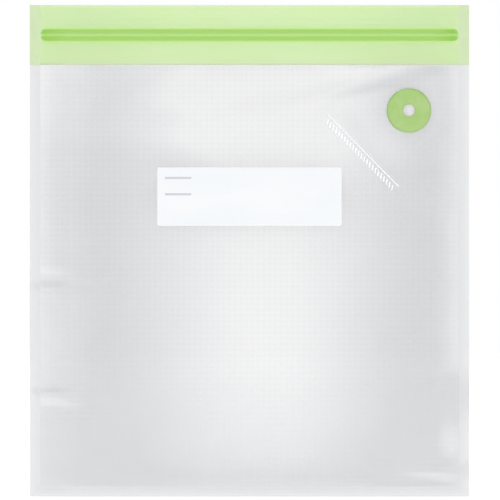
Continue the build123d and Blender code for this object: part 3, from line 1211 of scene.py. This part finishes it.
def track(name, profile, side):
    """Sweep a closed profile along X. The ends are rounded as seen from the front."""
    outline = rounded(profile)
    count = len(outline)
    end = ZIP_STRAIGHT
    stations = np.concatenate(
        [
            -end - FLANGE_HALF * np.sin(np.linspace(math.pi / 2, 0, 15)[:-1]),
            lines((-end, 2.2), (end, None)),
            end + FLANGE_HALF * np.sin(np.linspace(0, math.pi / 2, 15)[1:]),
        ]
    )
    verts, rest = [], []
    for station in stations:
        beyond = max(abs(station) - end, 0.0)
        reach = math.sqrt(max(FLANGE_HALF**2 - beyond**2, 0.04**2))
        open_share = float(squeeze(station)) * 0.9 + 0.1
        # a thousandth of the height is kept, so that points cut back to the outline stay apart
        height = outline[:, 1]
        z = ZIP_Z + (0.999 * np.clip(height, -reach, reach) + 0.001 * height)
        x = np.full(count, station)
        y = outline[:, 0] * open_share + edge_wave(x, z)
        verts.append(np.stack([x, y, z], 1))
        rest.append(np.stack([x, z], 1))
    faces = []
    last = (len(stations) - 1) * count
    for first in range(0, last, count):
        for k in range(count):
            here, after = first + k, first + (k + 1) % count
            faces.append((here, here + count, after + count, after))
    faces.append(tuple(range(count)))
    faces.append(tuple(last + k for k in reversed(range(count))))
    obj = mesh_object(name, np.concatenate(verts), faces, np.concatenate(rest), sharp=50.0)
    give(obj, zip_mat)
    bend_from_seal(obj, side)
    return obj


zip_front = track("zip_grooved_track", track_profile(JAW, -1)[::-1], -1)
zip_back = track("zip_ribbed_track", track_profile(RIB, 1), 1)
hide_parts("female_zip_track")
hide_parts("male_zip_track")


# ------------------------------------------------------------------------------------
# Label and printing, laid on the front wall
# ------------------------------------------------------------------------------------
def on_front(x, z, lift):
    out = wall_point(x, z, -1)
    out[..., 1] -= lift
    return out


def label_sheet(lift=0.015, thick=0.1, radius=0.6, step=1.3):
    left, _, bottom = label_low
    right, _, top = label_high
    columns = lines((left, step), (right, None))
    rows = lines((bottom, step), (top, None))
    x, z = np.meshgrid(columns, rows)
    # pull the corner points in onto the rounded outline
    middle_x, middle_z = (left + right) / 2, (bottom + top) / 2
    straight_x, straight_z = (right - left) / 2 - radius, (top - bottom) / 2 - radius
    over_x = np.maximum(np.abs(x - middle_x) - straight_x, 0)
    over_z = np.maximum(np.abs(z - middle_z) - straight_z, 0)
    over = np.hypot(over_x, over_z)
    pull = np.where(over > radius, radius / np.maximum(over, 1e-9), 1.0)
    corner = (over_x > 0) & (over_z > 0)
    round_x = middle_x + np.sign(x - middle_x) * (straight_x + over_x * pull)
    round_z = middle_z + np.sign(z - middle_z) * (straight_z + over_z * pull)
    x, z = np.where(corner, round_x, x), np.where(corner, round_z, z)
    outer = on_front(x, z, lift + thick)
    inner = on_front(x, z, lift)
    keep = all_cells(columns, rows)
    obj = shell("write_on_label", columns, rows, outer, inner, keep, -1)
    give(obj, label_mat)
    bend_with_fill(obj, -1)
    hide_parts("writing_label")


def strips(name, runs, width, lift, material, step, thick=0.03):
    """Flat strips of ink along straight runs ((x, z), (x, z)), laid on the front wall."""
    verts, faces, rest = [], [], []
    base = 0
    for start, end in runs:
        length, ux, uz = direction(start, end)
        count = max(2, int(round(length / step)) + 1)
        along = np.linspace(0, length, count)
        half = width / 2
        for off, up in ((-half, thick), (half, thick), (half, 0), (-half, 0)):
            x = start[0] + ux * along - uz * off
            z = start[1] + uz * along + ux * off
            verts.append(on_front(x, z, lift + up))
            rest.append(np.stack([x, z], 1))
        for i in range(count - 1):
            for k in range(4):
                here = base + k * count + i
                after = base + ((k + 1) % 4) * count + i
                faces.append((here, here + 1, after + 1, after))
        faces.append(tuple(base + k * count for k in range(4)))
        faces.append(tuple(base + k * count - 1 for k in (1, 4, 3, 2)))
        base += 4 * count
    obj = mesh_object(name, np.concatenate(verts), faces, np.concatenate(rest))
    give(obj, material)
    bend_with_fill(obj, -1)


def heading_bars():
    """Two plain bars at the label's upper left."""
    left, top = label_low[0], label_high[2]
    runs = [((left + 4.6, top - drop), (left + 20.0, top - drop)) for drop in (6.2, 15.8)]
    strips("label_heading_bars", runs, width=1.2, lift=0.12, material=bar_mat, step=1.2)


FILL_START, FILL_END = (46.5, 225.3), (88.0, 183.3)
TICK_FIRST, TICK_SPACING, TICK_MARGIN = 2.6, 2.35, 2.0  # places along the line
TICK_NEAR, TICK_FAR = 1.9, 4.6  # distances of a tick's ends from the line
TICK_SLANT = 0.9  # how far each end is shifted along the line


def fill_limit():
    """A diagonal line with a row of short ticks beside it."""
    strips("fill_limit_line", [(FILL_START, FILL_END)], width=0.42, lift=0.01,
           material=ink_mat, step=1.5)
    length, ux, uz = direction(FILL_START, FILL_END)
    away_x, away_z = uz, -ux  # towards the lower left
    ticks = []
    place = TICK_FIRST
    while place < length - TICK_MARGIN:
        x, z = FILL_START[0] + ux * place, FILL_START[1] + uz * place
        ticks.append(
            tuple(
                (x + away_x * away + ux * slant, z + away_z * away + uz * slant)
                for away, slant in ((TICK_NEAR, -TICK_SLANT), (TICK_FAR, TICK_SLANT))
            )
        )
        place += TICK_SPACING
    strips("fill_limit_ticks", ticks, width=0.62, lift=0.01, material=ink_mat, step=1.2)


label_sheet()
heading_bars()
fill_limit()

# ------------------------------------------------------------------------------------
# Valve: the shapes are carried over from CAD
# ------------------------------------------------------------------------------------
for node_name, material in (
    ("valve_ring", valve_mat),
    ("valve_membrane", membrane_mat),
    ("valve_seat", seat_mat),
    ("valve_filter", seat_mat),
    ("valve_adhesive_ring", adhesive_mat),
):
    give(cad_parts[node_name], material)


# ------------------------------------------------------------------------------------
# Stage, light and camera, in metres
# ------------------------------------------------------------------------------------
def stage_material():
    t = Tree("stage_white")
    place = t.node("TexCoord").outputs["Object"]
    cloud = t.noise(place, size=0.5, detail=2.0)
    grey, lighter = (0.44, 0.44, 0.44, 1), (0.46, 0.46, 0.46, 1)
    color = t.mix(t.line(cloud, over=(0.3, 0.7)), grey, lighter)
    # the glow changes very slightly away from the object
    far = t.vector("LENGTH", place)
    glow = t.curve(far.outputs["Value"], over=(0.15, 1.3), to=(0.70, 0.69))
    return t.finish(color, 0.8, spec=0.1, emission=(1, 1, 1, 1), glow=glow)


def stage_sheet(half=1.9, shift_y=0.1, count=13):
    """A plain pale floor, with count vertices each way."""
    places = np.linspace(-half, half, count)
    verts = [(x, y + shift_y, 0.0) for y in places for x in places]
    faces = [
        (j * count + i, j * count + i + 1, (j + 1) * count + i + 1, (j + 1) * count + i)
        for j in range(count - 1)
        for i in range(count - 1)
    ]
    mesh = bpy.data.meshes.new("stage_floor")
    mesh.from_pydata(verts, [], faces)
    obj = link(bpy.data.objects.new("stage_floor", mesh))
    obj.data.materials.append(stage_material())


def area_light(name, place, target, size, power, size_y=None):
    light = bpy.data.lights.new(name, "AREA")
    light.energy = power
    light.size = size
    if size_y:
        light.shape = "RECTANGLE"
        light.size_y = size_y
    obj = link(bpy.data.objects.new(name, light))
    obj.location = place
    aim = Vector(target) - Vector(place)
    obj.rotation_euler = aim.to_track_quat("-Z", "Y").to_euler()


def studio_world():
    """White surroundings, dimmer as a light than as seen by the camera."""
    world = bpy.data.worlds.new("studio")
    world.use_nodes = True
    nodes, links = world.node_tree.nodes, world.node_tree.links
    nodes.clear()
    output = nodes.new("ShaderNodeOutputWorld")
    background = nodes.new("ShaderNodeBackground")
    path = nodes.new("ShaderNodeLightPath")
    strength = nodes.new("ShaderNodeMapRange")
    strength.inputs["To Min"].default_value = 0.55
    strength.inputs["To Max"].default_value = 1.0
    links.new(path.outputs["Is Camera Ray"], strength.inputs["Value"])
    links.new(strength.outputs["Result"], background.inputs["Strength"])
    background.inputs["Color"].default_value = (1, 1, 1, 1)
    links.new(background.outputs[0], output.inputs[0])
    bpy.context.scene.world = world


def front_camera(field=0.296, x=0.0003, z=0.146):
    """Looks along +Y at the front, taking in a width of field at the middle plane."""
    cam = bpy.data.cameras.new("camera")
    cam.lens = 180.0
    cam.sensor_width = 36.0
    cam.clip_start = 0.05
    cam.clip_end = 50.0
    camera = link(bpy.data.objects.new("camera", cam))
    camera.location = (x, -field * cam.lens / cam.sensor_width, z)
    camera.rotation_euler = (math.radians(90), 0, 0)
    bpy.context.scene.camera = camera


stage_sheet()
area_light("soft_front", place=(0.0, -2.4, 0.36), target=(0, 0, 0.15), size=1.3, power=10.0,
           size_y=1.3)
area_light("soft_top", place=(0.0, 0.1, 2.6), target=(0, 0, 0), size=2.6, power=30.0)
studio_world()

view = bpy.context.scene.view_settings
view.view_transform = "Standard"
view.look = "None"
view.exposure = 0.0
view.gamma = 1.0

front_camera()
